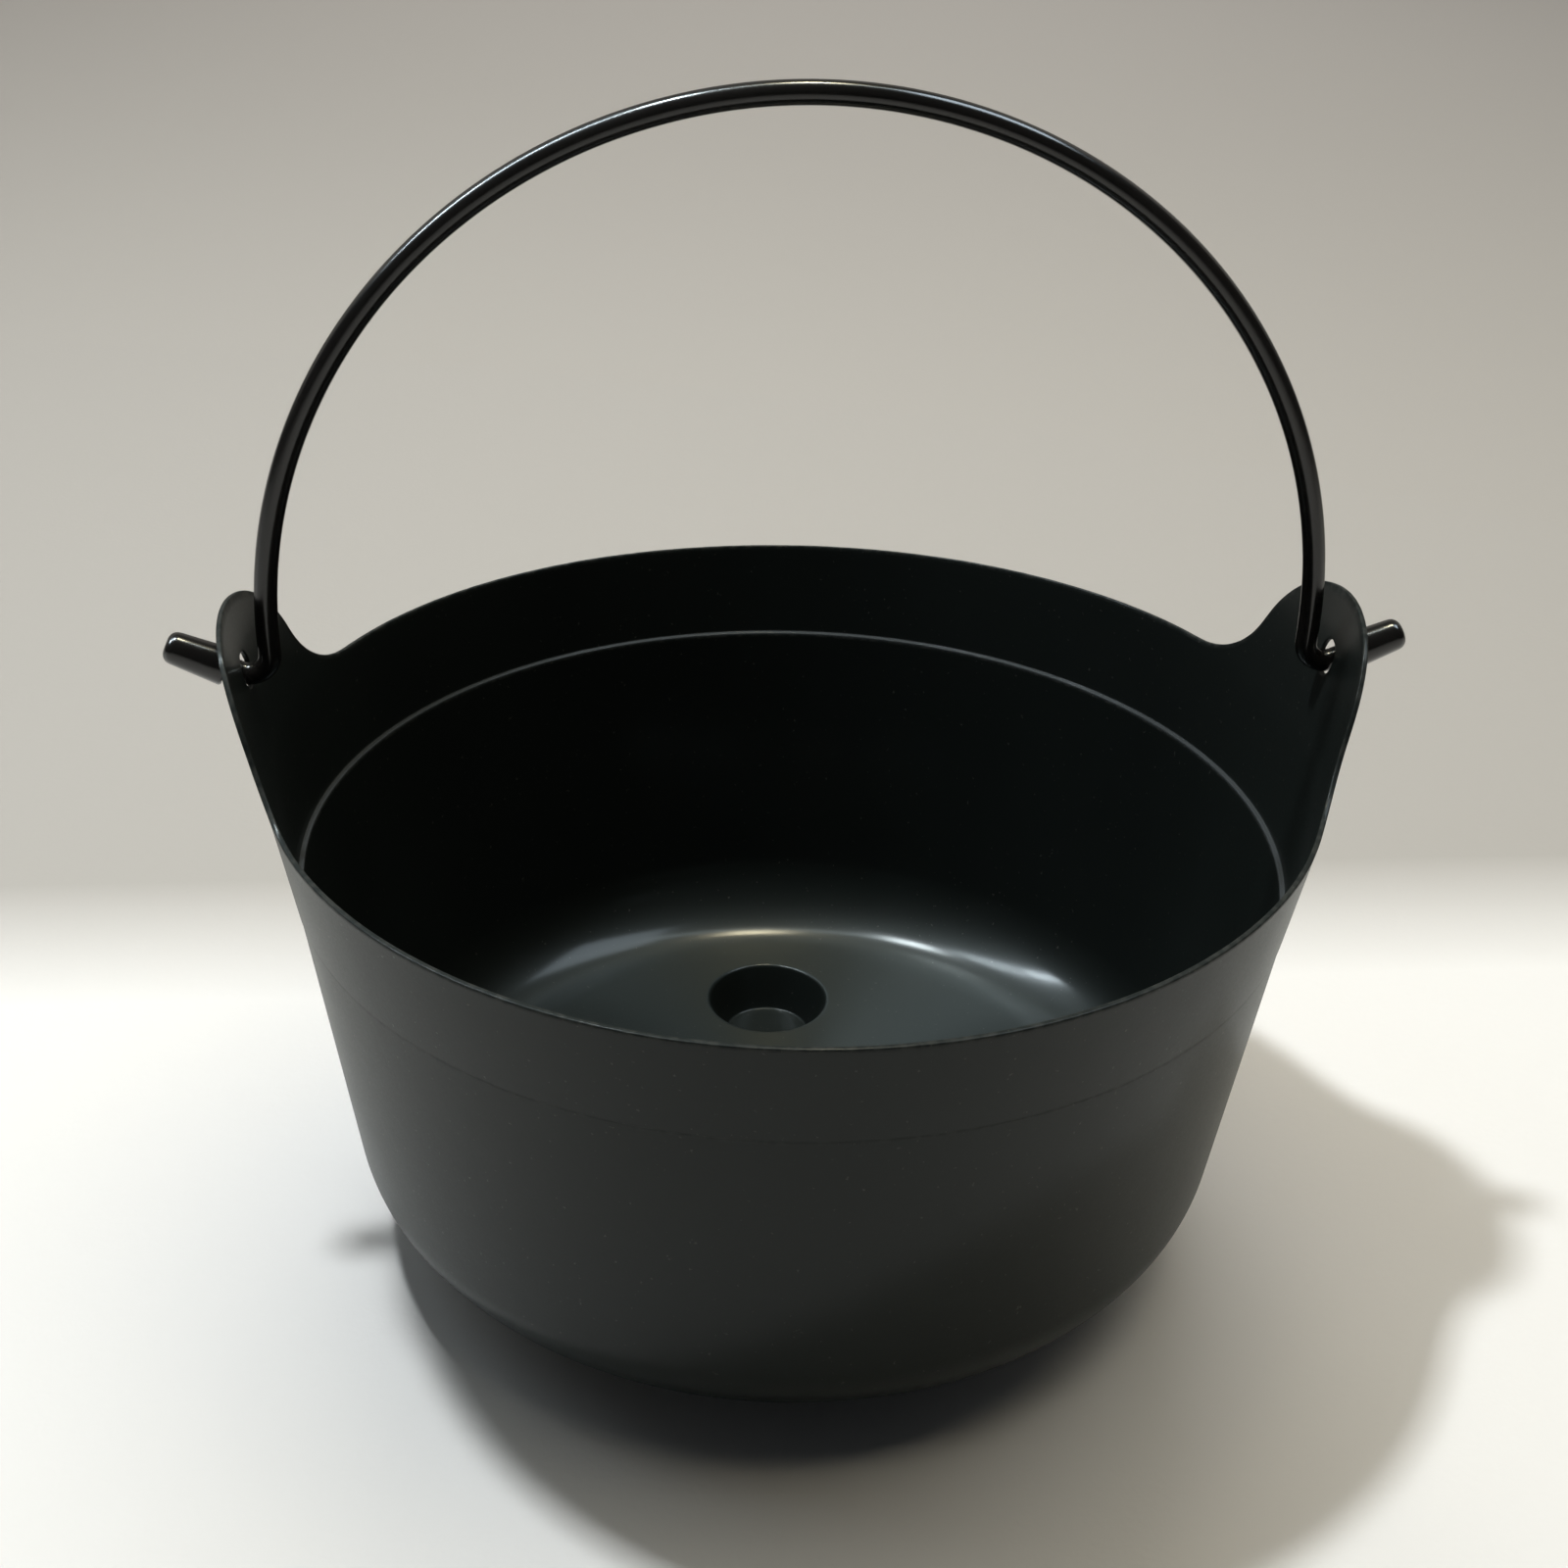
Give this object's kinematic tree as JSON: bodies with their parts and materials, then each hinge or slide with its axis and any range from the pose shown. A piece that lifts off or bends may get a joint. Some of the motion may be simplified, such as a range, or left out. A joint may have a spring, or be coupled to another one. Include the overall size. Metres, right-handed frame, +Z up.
{
  "type": "florist bucket",
  "caption": "Round black plastic kettle bucket with tapered wall, hollow stub feet and pierced ears that carry a swinging arched bail handle.",
  "frame": {"origin": "on the ground, under the middle of the kettle", "axes": "+Z up, ears and bail hinge along X, one foot at the back on +Y"},
  "size_m": [0.2934, 0.25, 0.2874],
  "materials": {
    "kettle_plastic": "satin",
    "bail_plastic": "gloss"
  },
  "bodies": {
    "kettle": {"pot_shell": "kettle_plastic"},
    "bail": {"bail_handle": "bail_plastic"}
  },
  "joints": [
    {"name": "bail_swing", "type": "hinge", "parent": "kettle", "child": "bail", "pos_m": [0, 0, 0.1546], "axis": [1, 0, 0], "range_deg": [-94, 94]}
  ]
}
